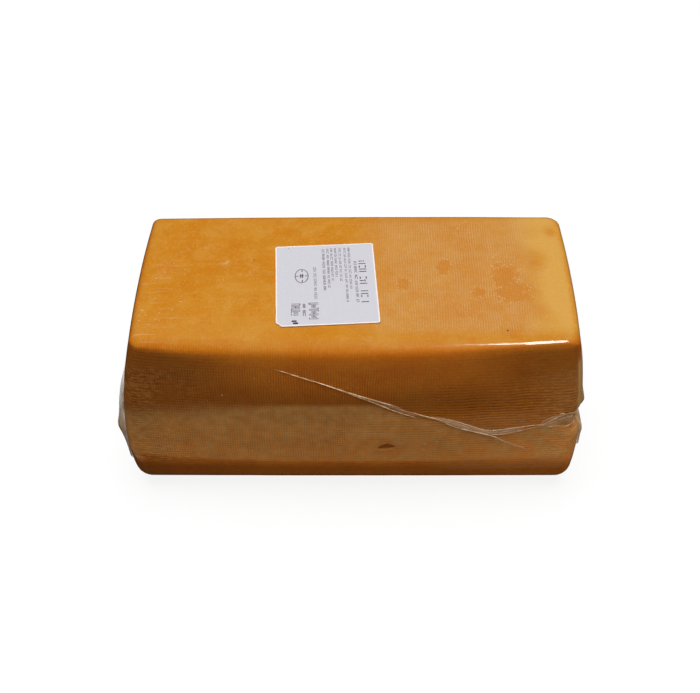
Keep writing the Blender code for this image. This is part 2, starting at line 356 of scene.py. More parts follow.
def top_colour(graph, cloudy, fine, grain, thread):
    """Orange with yellower and whiter patches, darker where a smooth blotch is, and streaked. Part of the
    whiteness on the right is painted sheen.
    """
    haze = graph.value("haze")
    broad = graph.noise(28, 3, 0.55).step(0.35, 0.68)
    graph.colour = graph.mix(broad, (0.58, 0.208, 0.01), (0.6, 0.244, 0.02))
    calm = haze * -0.6 + 1
    graph.paint((0.64, 0.31, 0.052), cloudy.step(0.48, 0.7, 0, 0.42), calm)
    graph.paint((0.575, 0.172, 0.006), cloudy.step(0.3, 0.47, 0.5, 0), calm)
    graph.paint((0.68, 0.365, 0.08), graph.value("yellow"))
    # Painted sheen, in part: whiter mottling and paler threads over the top's right part
    graph.paint((0.66, 0.45, 0.26), haze, cloudy.step(0.34, 0.58, 0.6, 1), 0.14)
    graph.paint((0.86, 0.57, 0.28), thread, haze, 0.24)

    blotch = graph.value("blotch") + (cloudy * 2.3 + (fine * 1.5 + -1.9))
    graph.paint((0.595, 0.205, 0.022), blotch.step(-0.2, 0.24, 0, 0.66))
    crumbs = abs(blotch).step(0.05, 0.3, 1, 0) * grain.step(0.52, 0.68) * haze
    smudge = graph.value("smudge") * fine.step(0.42, 0.6) * grain.step(0.36, 0.6)
    graph.paint((0.86, 0.68, 0.44), graph.math("MAXIMUM", smudge, crumbs), 0.26)

    streaks = graph.noise((44, 560, 44), 3, 0.6).step(0.55, 0.76)
    graph.paint((0.84, 0.6, 0.32), streaks, graph.value("streak"), 0.26)
    graph.paint((0.68, 0.36, 0.09), fine.step(0.52, 0.72, 0, 0.2))
    graph.paint((0.74, 0.42, 0.13), grain.step(0.54, 0.7, 0, 0.17))
    return graph.colour


def side_colour(graph, cloudy, fine):
    """Deeper and redder than the top, partly the rind's tone and partly painted shade, with stains and
    fine light lines near the corners.
    """
    crinkle = graph.value("crinkle")
    broad = graph.noise(34, 3, 0.55).step(0.3, 0.7)
    graph.colour = graph.mix(broad, (0.61, 0.153, 0.006), (0.645, 0.184, 0.01))
    graph.paint((0.62, 0.19, 0.026), crinkle, 0.4)
    graph.paint((0.5, 0.108, 0.002), cloudy.step(0.3, 0.46, 0.34, 0))
    graph.paint((0.74, 0.28, 0.028), fine.step(0.54, 0.76, 0, 0.2))
    lines = graph.noise((260, 260, 760), 2, 0.6, 0.6).step(0.43, 0.61) * crinkle
    graph.paint((0.82, 0.37, 0.1), lines, 0.28)
    return graph.colour, lines


def cheese_material():
    """Smoked rind: orange on the top, deeper and redder on the sides, with a cloth's print and painted
    light and shade.
    """
    graph = Graph("smoked_rind")
    up = graph.part(graph.node("ShaderNodeTexCoord", output="Normal"), 2)
    cloudy = graph.noise(85, 4, 0.62, 0.3)
    fine = graph.noise(210, 3, 0.6)
    grain = graph.noise(760, 2, 0.6)
    thread, gap = cloth_print(graph)

    top = top_colour(graph, cloudy, fine, grain, thread)
    side, lines = side_colour(graph, cloudy, fine)
    woven = gap * up.step(0.6, 0.98, -0.45, -0.1) + 1
    woven = thread * up.step(0.6, 0.98, 0.26, 0) + woven
    lined = lines * 0.34 + (graph.value("crinkle") * -0.15 + 1)
    grainy = grain.step(0.32, 0.68, -0.08, 0.08) * up.step(0.6, 0.95, 1, 0.2) + 1
    # Painted shade along the long faint crease on the front
    crease_shade = abs(graph.value("crease_up")).step(0.15, 0.7, 0.8, 1)
    # The colour is scaled by the cloth's print, the crease's painted shade and the painted side shade
    bright = woven * lined * grainy * crease_shade * graph.value("shade")
    # The top colour turns into the side colour down the rounded edges, along with the painted shade
    scaled = {0: graph.mix(graph.value("on_top"), side, top), "Scale": bright}
    graph.colour = graph.node("ShaderNodeVectorMath", scaled, operation="SCALE")
    hollow = graph.value("hollow")
    # Painted shade in the hollow of the front's dent
    graph.paint((0.34, 0.074, 0.004), hollow.step(-0.2, 0.6), 0.9)

    # Painted reflection of a pale floor below the fold, in patches, and little of it in the dent's hollow
    patchy = graph.noise(55, 4, 0.65).step(0.25, 0.75, 0.84, 1.12) * fine.step(0.3, 0.7, 0.78, 1.22)
    veil = graph.value("veil") * patchy * hollow.step(-0.2, 0.45, 1, 0.12)
    graph.paint((0.98, 0.56, 0.185), veil, 0.32)
    # Painted highlight: a thin pale line along the front's upper edge
    graph.paint((0.95, 0.52, 0.15), graph.value("edge_line"), fine.step(0.4, 0.6, 0.3, 1), 0.6)

    return graph.finish(
        base_color=graph.colour,
        roughness=fine.step(0.3, 0.7, 0.42, 0.58),
        normal=graph.bump(fine * 0.5 + (thread * 0.8 + lines), 0.0001),
        specular_ior_level=0.05,
        coat_weight=1,
        coat_roughness=0.1,
        coat_normal=graph.bump(fine + thread, 0.00004),
    )


def film_material():
    """The tight skin of film: clear, and faintly cloudy where it lies double."""
    graph = Graph("clear_film")
    return graph.finish(base_color=(0.98, 0.56, 0.185), alpha=graph.value("faint"), roughness=0.3)


def ribbon_material():
    """Film gathered into a flat bundle: whitish, and streaked along its length."""
    graph = Graph("gathered_film")
    along = graph.node("ShaderNodeCombineXYZ", {0: graph.value("along"), 1: graph.value("across")})
    streaks = graph.noise(1, 3, 0.65, place=along).step(0.38, 0.62, 0.3, 1)
    alpha = streaks * graph.value("cover")
    return graph.finish(base_color=(1, 0.66, 0.38), alpha=alpha, roughness=0.2, coat_weight=0.5)


def strand_material():
    """A taut edge of doubled film."""
    graph = Graph("film_edge")
    worn = graph.noise(260, 2).step(0.3, 0.7)
    colour = graph.mix(worn, (0.78, 0.5, 0.25), (1, 0.7, 0.42))
    alpha = worn.step(0, 1, 0.45, 0.95) * graph.value("cover")
    return graph.finish(base_color=colour, alpha=alpha, roughness=0.15, coat_weight=0.5)


def ear_material(name, colour):
    """A doubled corner of the bag, streaked from top to bottom."""
    graph = Graph(name)
    streaks = graph.noise((160, 160, 30), 3, 0.6).step(0.3, 0.7, 0.75, 1.15)
    alpha = streaks * graph.value("cover")
    bump = graph.bump(graph.noise((260, 260, 90)), 0.0004)
    return graph.finish(base_color=colour, alpha=alpha, roughness=0.22, normal=bump, coat_weight=0.5)


def seam_material():
    """The welded seam, pressed with fine upright ribs."""
    graph = Graph("welded_seam")
    rib = graph.math("SINE", graph.part(graph.place, 1) * (2 * math.pi / SEAM_RIB))
    worn = graph.noise(120, 3, 0.6).step(0.25, 0.7, 0.55, 1)
    alpha = rib.step(-0.6, 0.8, 0.5, 0.9) * worn * graph.value("cover")
    bump = graph.bump(rib, 0.0002)
    colour = (0.86, 0.66, 0.45)
    return graph.finish(base_color=colour, alpha=alpha, roughness=0.2, normal=bump, coat_weight=0.5)


def spot_material(name, colour, alpha):
    graph = Graph(name)
    patchy = graph.noise(1500, 2).step(0.3, 0.7, 0.6 * alpha, alpha)
    return graph.finish(base_color=colour, alpha=patchy, roughness=0.3)


def paper_material():
    """Coated paper, a little blue, with a bright bare rim."""
    graph = Graph("label_paper")
    fibres = graph.noise(900, 3, 0.6)
    graph.colour = graph.mix(fibres.step(0.3, 0.7), (0.605, 0.595, 0.645), (0.635, 0.625, 0.675))
    graph.paint((0.95, 0.86, 0.8), graph.value("rim"))
    return graph.finish(base_color=graph.colour, roughness=0.55, normal=graph.bump(fibres, 0.00001))


def ink_material():
    graph = Graph("label_ink")
    worn = graph.noise(700, 2).step(0.35, 0.65)
    colour = graph.mix(worn, (0.026, 0.008, 0.022), (0.12, 0.068, 0.105))
    return graph.finish(base_color=colour, roughness=0.6)


# The dent in the front: a hollow under an arch, leaning a little to the left
DENT_PLACE = (16.8, 46.1)
DENT_HALF_WIDTH = 5.7
DENT_DROP = 3.8  # how far the arch comes down at its ends
DENT_LEAN = 0.13
DENT_THICKNESS = 4
DENT_DEPTH = 0.8

# A small dent in the top, near the right back corner
NICK_PLACE = (110, 36.9)
NICK_DEPTH = 0.6


def dent_hollow(points):
    """How far inside the dent's hollow each point is, in millimetres, and below 0 outside it."""
    x, y, z = millimetres(points)
    along = x - DENT_PLACE[0]
    off = abs(along) / DENT_HALF_WIDTH
    arch = DENT_PLACE[1] + DENT_LEAN * along - DENT_DROP * off**2
    floor = arch - DENT_THICKNESS * (1 - off**2)
    inside = np.minimum(arch - z, z - floor)
    return np.where((y < 0) & (off < 1.3), inside, -9)


def dents(points):
    """How deep the dents in the front and in the top are."""
    x, y, z = millimetres(points)
    hollow = ease((dent_hollow(points) + 0.9) / 2.2)
    nick = np.exp(-(((x - NICK_PLACE[0]) / 3.5) ** 2) - ((y - NICK_PLACE[1]) / 4) ** 2)
    return MM * (DENT_DEPTH * hollow + NICK_DEPTH * nick * (z > 100))


def wrinkles(points):
    """Fine slanting creases of the film near the upright corners, and broad ones on the ends."""
    x, y, z = millimetres(points)
    drift = noise_values(points, 45, 8) * 3
    patchy = ease(0.5 + noise_values(points, 90, 9))
    slanting = np.sin((z - 0.35 * abs(x) + drift) * 2 * math.pi / 3.6)
    near = ease((abs(x) - 82) / 34) * ease((95 - z) / 18) * ease((z - 30) / 16)
    on_end = ease((abs(x) - 112) / 6) * ease((100 - z) / 20) * ease((z - 12) / 20)
    fanned = np.sin((z - 58 + 0.5 * drift) / (6 + 0.35 * abs(y)) * 2 * math.pi)
    return MM * (0.12 * slanting * near * patchy + 0.16 * fanned * on_end * patchy)


def loaf_surface():
    """The loaf's points, normals and faces, and how far its relief stands out at each point."""
    shares = (ARC_SHARE, ARC_SHARE, RISE_SHARE)
    cube, faces = cube_shell([rows(share, count) for share, count in zip(shares, GRID_ROWS)])
    points = loaf_points(cube)
    normals = surface_normals(points, faces)
    uneven = noise_values(points, 32, 1) * 0.00008 + noise_values(points, 110, 2) * 0.00003
    return points, normals, faces, uneven + wrinkles(points) - dents(points)


# Smooth darker blotches on the top, as (x, y) and half sizes along X and Y
BLOTCHES = (
    (25.9, -7.6, 3.6, 4.8), (48.3, 6.2, 3.8, 6.4), (80.5, -2, 7.5, 11), (82.5, -14.5, 10, 7.5),
    (66.8, -14.5, 3.4, 4), (-101, 6, 5, 4),
)
# Small whitish smudges on the top, as (x, y, radius, strength)
SMUDGES = (
    (-69.9, 10, 7, 0.9), (-54.9, 0, 6, 0.6), (-44, 3, 4, 0.4), (-88, 24, 9, 0.3),
    (6, -50, 9, 0.3), (60, 38, 10, 0.45), (101, 4, 8, 0.4),
)
# A long faint crease low on the front, from (x, z) to (x, z). The rind is darkened along it as painted
# shade
FRONT_CREASE = ((-80.1, 55.6), (-45.1, 57.8))


def blotch_field(x, y):
    """Above 0 inside a blotch, 0 on its edge, and below 0 outside."""
    away = [np.hypot((x - at_x) / half_x, (y - at_y) / half_y) for at_x, at_y, half_x, half_y in BLOTCHES]
    return np.maximum(1 - np.min(away, axis=0), -1)


def smudge_field(x, y):
    fields = [
        strength * ease(1 - np.hypot(x - at_x, y - at_y) / radius)
        for at_x, at_y, radius, strength in SMUDGES
    ]
    return np.max(fields, axis=0)


# In the formulas below x, y and z are millimetres on the loaf. ease((x - a) / b) is 0 up to a,
# and 1 from b millimetres past it


def painted_side_shade(normals, x, z):
    """Painted shade: full brightness on the top, and darker by height and place on the sides."""
    # Painted shade darkens the ends and a band at middle height; painted light from below brightens the
    # lower front
    left, right = ease((-x - 40) / 55), ease((x - 45) / 55)
    upper = 0.8 - 0.35 * left - 0.23 * right
    middle = 0.57 - 0.04 * left + 0.13 * ease((x - 60) / 40)
    lower = 0.76 + 0.06 * ease((70 - z) / 8) + 0.41 * ease((62 - z) / 31) + 0.19 * ease((48 - z) / 16)
    lower *= 1 - (0.42 + 0.04 * abs(x) / 100) * ease((32 - z) / 12)
    lower *= 1 + (0.05 + 0.1 * ease((54 - z) / 8)) * right - 0.05 * left
    lower *= (1 - 0.2 * ease((-x - 95) / 18)) * (1 - 0.1 * ease((-x - 50) / 30) * ease((40 - z) / 8))
    lower *= 1 - 0.24 * ease((76 - z) / 6) * ease((z - 57) / 8) * ease((25 - x) / 30)
    dip_z = 92 - 4 * np.exp(-(((x + 5) / 28) ** 2)) + 2 * np.exp(-(((x + 55) / 20) ** 2))
    shade = upper + (middle - upper) * ease((dip_z - z) / 14)
    shade += (lower - shade) * ease((76 - z) / 12)

    # Where the painted shade applies: the sides and their rounded edges, soonest along the back edge
    out_x, out_y, out_z = normals.T
    outward = np.hypot(np.minimum(out_x, 0), out_y)
    back = ease(out_y / 0.2)
    start = 0.6 + 0.08 * left - 0.14 * right - 0.16 * back
    stop = 0.8 + 0.1 * left - 0.08 * right - 0.14 * back
    side = np.maximum(ease((outward - start) / (stop - start)), ease((0.34 - out_z) / 0.24))
    rounding_shade = ease((-out_y - 0.62) / 0.16) * (1 - ease((-out_y - 0.88) / 0.09))
    return 1 - side * (1 - shade) - 0.16 * rounding_shade * (1 - left) * (1 - right)


def side_threads(x, z):
    """How clear the cloth's threads are on the sides: its upright ones and its level ones."""
    low = ease((76 - z) / 6) * ease((z - 30) / 6)
    upright = ease((x + 124) / 20) * (1 - 0.75 * ease((x - 25) / 50))
    upright *= 1 - 0.5 * ease((x + 20) / 40) * ease((78 - z) / 8)
    upright *= (1 + 0.6 * low) * (1 - 0.6 * ease((34 - z) / 6)) * (1 - 0.55 * ease((z - 92) / 6))
    upright *= 1 - 0.35 * ease((x + 10) / 30) * ease((z - 78) / 6)
    level = 0.25 + 0.75 * ease((x - 5) / 50) * ease((93 - z) / 14) + 0.35 * ease((-x - 50) / 30)
    level = np.minimum(level + 0.7 * ease((82 - z) / 10), 1) * (1 + 0.15 * low)
    level *= (1 - 0.55 * ease((30 - z) / 8)) * (1 - 0.5 * ease((abs(x) - 116) / 4))
    return upright, level


def crease_height(x, z):
    """How far above the long faint crease a point is. Past its ends it counts as farther."""
    (first_x, first_z), (last_x, last_z) = FRONT_CREASE
    above = z - first_z - (x - first_x) * (last_z - first_z) / (last_x - first_x)
    return above + np.sign(above) * 6 * (ease((first_x - x) / 8) + ease((x - last_x) / 8))


# The fold's line over the front, as (x, z): below it lies the painted reflection of a pale floor
REFLECTION_EDGE = (
    (-125, 68), (-100, 71), (-81, 74), (-49, 74.8), (10, 75.6), (13, 75.2), (21, 71.1),
    (29, 67.9), (44, 64), (53, 59.5), (61, 56.2), (70, 53), (79, 52.6), (86, 54), (94, 56.2),
    (103, 59), (112, 64), (119, 66.5),
)
REFLECTION_EDGE_BEHIND = 75  # the height that it ends at on the back
BAND_MIDDLE = 29.3
BAND_RISE = 5.5


def painted_reflection_share(x, y, z):
    """The painted reflection of a pale floor: below the fold, and above the band along the foot."""
    line_x, line_z = np.array(REFLECTION_EDGE).T
    behind = ease((y + 45) / 70)
    fold_z = np.interp(x, line_x, line_z) * (1 - behind) + REFLECTION_EDGE_BEHIND * behind
    fading = ease((x - 68) / 28)
    band_z = BAND_MIDDLE + BAND_RISE * (x / 125) ** 4 * (1 - fading)
    softer = 1 + 2.5 * ease((-x - 30) / 50) + 2 * behind
    below = ease((0.8 - (z - fold_z) / softer) / 3.6)
    over = ease(((z - band_z) / (1 + 1.8 * fading) + 2) / 4)
    return below * over


def make_cheese(surface):
    points, normals, faces, relief = surface
    x, y, z = millimetres(points)
    out_x, out_y, out_z = normals.T
    ragged = noise_values(points, 22, 5) + 0.6 * noise_values(points, 70, 6)
    top = ease((out_z - 0.7) / 0.25)
    low_up = 0.56 + 0.06 * ease((x + 70) / 60) + 0.06 * ease((x + 10) / 60)
    high_up = 0.98 + 0.02 * ease((x + 70) / 60)
    right_rim = ease((out_x - 0.1) / 0.2) * ease((out_z - 0.15) / 0.35)

    yellow = 0.95 * ease((x - 82 + 15 * ragged) / 24) * ease((y + 52) / 14) * np.maximum(top, right_rim)
    yellow *= 1 - 0.65 * ease((out_x - 0.05) / 0.3)
    yellow *= 1 - 0.75 * np.exp(-(((x - NICK_PLACE[0]) / 4) ** 2) - ((y - NICK_PLACE[1]) / 4.5) ** 2)
    front_yellow = 0.17 * ease((-y - 22) / 20) * ease((y + 51) / 5) * ease((-x - 15) / 40) * top
    # The top's right part, where the cloth's weave shows most and painted sheen lies
    haze = ease((x + 8) / 30) * ease((104 - x) / 16) * ease((53 - y) / 10) * ease((y + 52) / 14) * top
    crinkle = ease((abs(x) - 55) / 62) * ease((102 - z) / 14) * ease((z - 20) / 16)
    # A painted highlight line along the front's upper edge
    edge_line = np.exp(-(((out_y + 0.55) / 0.022) ** 2)) * ease((x - 2) / 12) * ease((72 - x) / 10)
    upright, level = side_threads(x, z)
    across = np.where(top > 0.5, 0.12 + 0.88 * haze, 0.85 * upright)
    # How strong the painted reflection is: stronger to the right and low down, weaker at the left end
    reflection_gain = 1 + 0.22 * ease((x - 60) / 40) - 0.1 * ease((-x - 70) / 40)
    reflection_gain += 0.25 * ease((38 - z) / 8) * ease((x + 10) / 50)
    # Painted light: the right end's upper rim and the front's lower right rim are painted brighter
    low_rim = ease((out_x - 0.25) / 0.3) * ease((34 - z) / 8) * ease((-y - 22) / 20)
    painted_rim_light = (1 + 0.16 * right_rim * ease((y + 46) / 8)) * (1 + 0.35 * low_rim)
    return new_piece(
        "cheese",
        points + normals * (relief - CHEESE_DEPTH)[:, None],
        faces,
        cheese_material(),
        on_top=np.maximum(ease((out_z - low_up) / (high_up - low_up)), right_rim * ease((y + 49) / 6)),
        yellow=np.maximum(yellow, front_yellow),
        haze=haze,
        streak=(0.25 + 0.75 * ease((-x - 84) / 16) * ease((30 - y) / 30)) * top,
        blotch=np.where(top > 0.5, blotch_field(x, y), -1),
        smudge=smudge_field(x, y) * top,
        crinkle=crinkle * (0.9 - 0.1 * np.tanh(x / 20)) * ease(0.85 + ragged) * (1 - top),
        thread_x=across * ease((0.8 - abs(out_x)) / 0.35),
        thread_y=0.6 * haze * ease((0.8 - abs(out_y)) / 0.35),
        thread_z=level * ease((0.8 - abs(out_z)) / 0.35),
        shade=painted_side_shade(normals, x, z) * painted_rim_light,
        edge_line=edge_line * (z > 90),
        crease_up=np.where(ease((-out_y - 0.74) / 0.1) > 0.5, crease_height(x, z), 9),
        hollow=dent_hollow(points),
        veil=painted_reflection_share(x, y, z) * reflection_gain,
    )


def make_film(surface):
    points, normals, faces, relief = surface
    x, y, z = millimetres(points)
    out_x, _, out_z = normals.T
    flap = 0.6 * ease((z - 62.6) / 1.4) + 0.45 * ease((55.5 - z) / 1.4) * ease((z - 37) / 4)
    low_rim = ease((out_x - 0.25) / 0.3) * ease((50 - z) / 14) * ease((z - 22) / 8)
    # The last share is painted light: whiter film brightens the front's lower right rim
    at_right = (
        0.15 * ease((76 - z) / 16) * ease((x - 30) / 40),
        0.12 * ease((x - 84) / 28) * ease((99 - z) / 12),
        flap * ease((out_x - 0.56) / 0.16) * ease((100 - z) / 8),
        0.2 * low_rim * ease((x - 60) / 40) * ease((-y - 22) / 20),
    )
    at_right = np.max(at_right, axis=0)
    on_front = (y < -40) & (out_z < 0.6) & (z > 20)
    faint = np.where(on_front, np.maximum(at_right, 0.028 * ease((z - 30) / 8)), 0.012)
    # The film is left clearer where the rind holds the painted reflection
    faint *= 1 - 0.95 * painted_reflection_share(x, y, z)
    faint = np.maximum(faint, at_right * on_front * (out_x > 0.5))
    placed = points + normals * (relief - FILM_DEPTH)[:, None]
    return new_piece("film", placed, faces, film_material(), faint=faint)


def side_w(u, z):
    """The cube coordinate of a height on the loaf's front."""
    share = (z - FOOT_RADIUS) / (HEIGHT - top_edge_radius(u, True) - FOOT_RADIUS)
    return np.clip(2 * share - 1, -1 + TOUCHING, 1 - TOUCHING) * (1 - RISE_SHARE)


def front_points(u, z):
    return loaf_points(np.stack((u, np.full_like(u, -1), side_w(u, z)), axis=1), BRIDGED)


def front_place(x, z, proud):
    """Points this far out from the front at x and z, all in millimetres."""
    x, z, proud = (np.asarray(values, float) * MM for values in (x, z, proud))
    u = x / (TOP_LENGTH / 2)
    for _ in range(20):
        off = x + LOAF_SHIFT[0] - front_points(u, z)[:, 0]
        u = np.clip(u + off / (TOP_LENGTH / 2), -1, 1)
    nudge = 0.002
    along = front_points(np.clip(u + nudge, -1, 1), z) - front_points(np.clip(u - nudge, -1, 1), z)
    upward = front_points(u, z + MM) - front_points(u, z - MM)
    out = np.cross(along, upward)
    out /= np.linalg.norm(out, axis=1)[:, None]
    return front_points(u, z) + out * proud[:, None], out


def smooth_route(route, count):
    """Evenly spaced points on a smooth curve through a route's own points."""
    route = np.array(route, float)
    ends = np.vstack((2 * route[0] - route[1], route, 2 * route[-1] - route[-2]))
    found = []
    for place in np.linspace(0, len(route) - 1, count):
        index = min(int(place), len(route) - 2)
        t = place - index
        a, b, c, d = ends[index : index + 4]
        bend = (2 * a - 5 * b + 4 * c - d) * t**2 + (3 * b - a - 3 * c + d) * t**3
        found.append(0.5 * (2 * b + (c - a) * t + bend))
    return np.array(found)


# Taut edges of the fold over the front: x and z of each point in turn, half width, how white
STRANDS = (
    ((-41.5, 97.3, -34.1, 94.9, -27.1, 92.3, -17.7, 89, -9.3, 85.7), 0.26, 0.75),
    ((-27, 92.4, -17.7, 89.1, -9.3, 85.8, -2.9, 83.2, 3.4, 80.9, 12.3, 77.7, 19.6, 75, 25, 72.9), 0.4, 1),
    ((-9.3, 85.6, -2.3, 82.4, 5.5, 79, 13.3, 75.2, 21.2, 71.1, 28.8, 67.9, 33, 66.2), 0.32, 0.9),
    ((14, 76.6, 19.6, 74.2, 25, 71.8, 31, 69.4), 0.22, 0.35),
    ((29, 70.7, 34.6, 68.2, 39, 66.6, 43.4, 65.1, 50, 62), 0.34, 0.9),
    ((43.4, 65, 53.1, 59, 61.3, 55.9, 70, 52.7, 75, 50.5, 79.5, 47.1, 82.7, 44.5), 0.34, 1),
    ((42, 66.4, 50.8, 64.1, 58.1, 60.9, 66, 56.9, 71, 54.4), 0.24, 0.6),
    ((45, 64.6, 52, 62.4, 58.5, 59, 64, 56.2), 0.2, 0.6),
    ((50, 62.8, 58, 57.8, 66, 54.6, 72, 52.4), 0.2, 0.6),
    ((66, 56.9, 72.8, 55.8, 77.2, 55.9, 83.4, 56.6, 94, 57.7, 97.9, 58, 101.1, 58.2), 0.3, 0.5),
    ((70, 52.7, 74.3, 52.4, 79.5, 52.5, 85.8, 53.8, 94.1, 55.9, 98.6, 57), 0.3, 0.5),
    ((96, 57, 99.3, 57.2, 103.6, 60.1, 108.5, 63, 112.7, 64.5, 115.3, 65.1), 0.3, 0.65),
    ((98, 56.6, 102.6, 58.2, 106.7, 59.9, 112, 61.8, 117, 62.8), 0.24, 0.45),
    ((107.6, 64.6, 109.2, 64.8, 110.6, 64.6, 112.2, 64.2), 0.42, 1),
    ((111.4, 64.3, 113.9, 64.8, 116.2, 64.4, 117.9, 63.6), 0.24, 0.7),
    ((111.8, 63.4, 113, 61.8, 114.6, 59.2, 116.4, 56.4), 0.24, 0.8),
    ((112.2, 54.7, 114.2, 55, 116.4, 55.4, 118.2, 56.2, 119.4, 57.4, 120.2, 58.8), 0.5, 1),
    ((101.5, 56.2, 105.3, 56.3, 108.5, 56, 112.5, 54.7), 0.24, 0.4),
    ((107, 60.5, 110.2, 61, 113.3, 61.7, 117.4, 61), 0.26, 0.6),
    ((82, 45, 86, 42.9, 90, 40.8, 95, 38.2), 0.22, 0.3),
    ((-122.4, 39, -121.6, 33.5, -120, 29.6, -117.6, 26.6), 0.3, 0.4),
    ((-121.4, 40, -120.2, 34, -118.4, 30.4, -115.6, 28), 0.22, 0.25),
)
STRAND_SIDES = 8
STRAND_DENSITY = 1.4  # rings of points for each millimetre
STRAND_PROUD = 0.2
STRAND_FULLNESS = 1.05  # how much wider a strand is than its route says

# Flat bundles of gathered film: x and z of each point in turn, half width, how white
RIBBONS = (
    ((3, 80.6, 12.3, 77, 21, 72.8, 29.4, 69.2, 38, 66.2), 1.1, 0.35),
    ((40, 66.6, 47.6, 63.6, 55.6, 60.2, 63.6, 56.6, 70.5, 54.2, 76, 52.6), 2.3, 0.95),
    ((64, 55.8, 71, 54.2, 78, 54, 85, 55.2, 92, 56.8), 2.1, 0.8),
    ((98, 57.8, 104, 59.6, 110, 60.9, 117.6, 60.6), 3.6, 0.42),
    ((110.5, 60.4, 113.5, 60.4, 116, 60.2, 118.2, 60), 3.9, 0.48),
    ((72, 51.4, 78, 48, 84, 44, 89.5, 41.1, 95, 38.2), 1.2, 0.3),
    ((-122.8, 42, -121.8, 35, -119.6, 30, -116, 26.6), 1.8, 0.16),
)
RIBBON_COLUMNS = 13
RIBBON_STEP = 1
RIBBON_RIDGES = 3.5


def add_strand(shape, cover, route, width, white):
    """Adds a flattened tube that lies on the front face and thins out at its ends."""
    points, faces = shape
    route = np.reshape(route, (-1, 2))
    count = max(12, int(np.ptp(route[:, 0]) * STRAND_DENSITY))
    path = smooth_route(route, count)
    centre, out = front_place(*path.T, np.full(count, STRAND_PROUD))
    across = np.cross(np.gradient(centre, axis=0), out)
    across /= np.linalg.norm(across, axis=1)[:, None]
    first = len(points)
    for index in range(count):
        fullness = math.sin(math.pi * index / (count - 1))
        size = width * STRAND_FULLNESS * MM * (0.18 + 0.82 * fullness**0.5)
        cover += [white * (0.1 + 0.9 * ease(2 * fullness))] * STRAND_SIDES
        for side in range(STRAND_SIDES):
            turn = 2 * math.pi * side / STRAND_SIDES
            aside = across[index] * math.cos(turn) + 0.8 * out[index] * math.sin(turn)
            points.append(centre[index] + size * aside)
    faces += tube_faces(first, STRAND_SIDES, count)
    last = first + (count - 1) * STRAND_SIDES
    faces.append([first + side for side in range(STRAND_SIDES)])
    faces.append([last + side for side in reversed(range(STRAND_SIDES))])


def make_strands():
    shape, cover = ([], []), []
    for row in STRANDS:
        add_strand(shape, cover, *row)
    new_piece("film_folds", *shape, strand_material(), cover=cover)


def sheet_faces(columns, count, first=0):
    """The faces of a grid of points, row by row."""
    starts = [first + row * columns + column for row in range(count - 1) for column in range(columns - 1)]
    return [[a, a + 1, a + columns + 1, a + columns] for a in starts]


def tube_faces(first, sides, count):
    """The faces between rings of points, ring by ring."""
    faces = []
    for ring in range(count - 1):
        for side in range(sides):
            a, b = first + ring * sides + side, first + ring * sides + (side + 1) % sides
            faces.append([b, a, a + sides, b + sides])
    return faces


def make_ribbons():
    """Thin ridged strips of film along the fold, sunk into the film at their borders."""
    points, faces, along, across, cover = [], [], [], [], []
    for index, (route, half_width, white) in enumerate(RIBBONS):
        route = np.reshape(route, (-1, 2))
        length = np.linalg.norm(np.diff(route, axis=0), axis=1).sum()
        count = int(length / RIBBON_STEP)
        path = smooth_route(route, count)
        heading = np.gradient(path, axis=0)
        heading /= np.linalg.norm(heading, axis=1)[:, None]
        aside, share = np.meshgrid(np.linspace(-1, 1, RIBBON_COLUMNS), np.linspace(0, 1, count))
        taper = np.sin(math.pi * share) ** 0.6
        offset = aside * half_width * (0.25 + 0.75 * taper)
        x = path[:, 0][:, None] - heading[:, 1][:, None] * offset
        z = path[:, 1][:, None] + heading[:, 0][:, None] * offset
        wobble = 0.5 * np.sin(share * length / 7 + 2.1 * index) + 0.2 * np.sin(share * length / 2.3)
        ridge = 0.5 + 0.5 * np.sin(2 * math.pi * (aside * RIBBON_RIDGES / 2 + wobble))
        edge = np.sqrt(1 - aside**2) * taper
        proud = -0.12 + edge * (0.22 + 0.2 * ridge)
        placed, _ = front_place(x.ravel(), z.ravel(), proud.ravel())
        faces += [face[::-1] for face in sheet_faces(RIBBON_COLUMNS, count, len(points))]
        points += list(placed)
        along += list((share * length * 0.05 + 13 * index).ravel())
        across += list((aside * half_width * 3.2).ravel())
        cover += list((white * ease(edge * 1.6)).ravel())
    material = ribbon_material()
    new_piece("film_gathers", points, faces, material, along=along, across=across, cover=cover)


# The bag's corners, folded flat on the ends: side (1 is right), facing (1 is the back), low and
# high, reach, proud, where they start to rise or fall, from which share of proud to which, how
# much they narrow below, and how much further they stand out in their middle
EARS = {
    "ear_left_front": (-1, -1, 0.022, 0.081, 0.62, 0.0036, -0.85, 0.3, 0.85, 0.75, 0.5),
    "ear_left_back": (-1, 1, 0.03, 0.086, 0.62, 0.0024, -0.85, 0.15, 1, 0.75, 0),
    "ear_right_high": (1, -1, 0.0612, 0.0992, 0.55, 0.0016, -0.97, 1.45, 0.15, 0, 0),
    "ear_right_low": (1, -1, 0.035, 0.0535, 0.3, 0.0016, -0.5, 0.7, 1.15, 0.75, 0),
    "ear_right_back": (1, 1, 0.03, 0.086, 0.62, 0.0018, -0.5, 0.85, 0.35, 0.75, 0),
}
EAR_NARROWING = 0.75  # how much they narrow above
EAR_TURN = 0.8
EAR_FLATTENING = 0.33
EAR_DROOP = 0.3
EAR_INNER_LIFT = 0.45
EAR_COLUMNS = 30
EAR_ROWS = 60
BORDER_SINK = 0.0004

SEAL_HEIGHT = 0.0095
SEAL_PROUD = 0.0016
SEAL_HALF_SPAN = 0.8
LEFT_SEAL_MIDDLE = 0.058
SEAM_COLUMNS = 90
SEAM_ROWS = 14
SEAM_RIB = 0.0021  # from one rib to the next
SEAM_RIB_HEIGHT = 0.00018


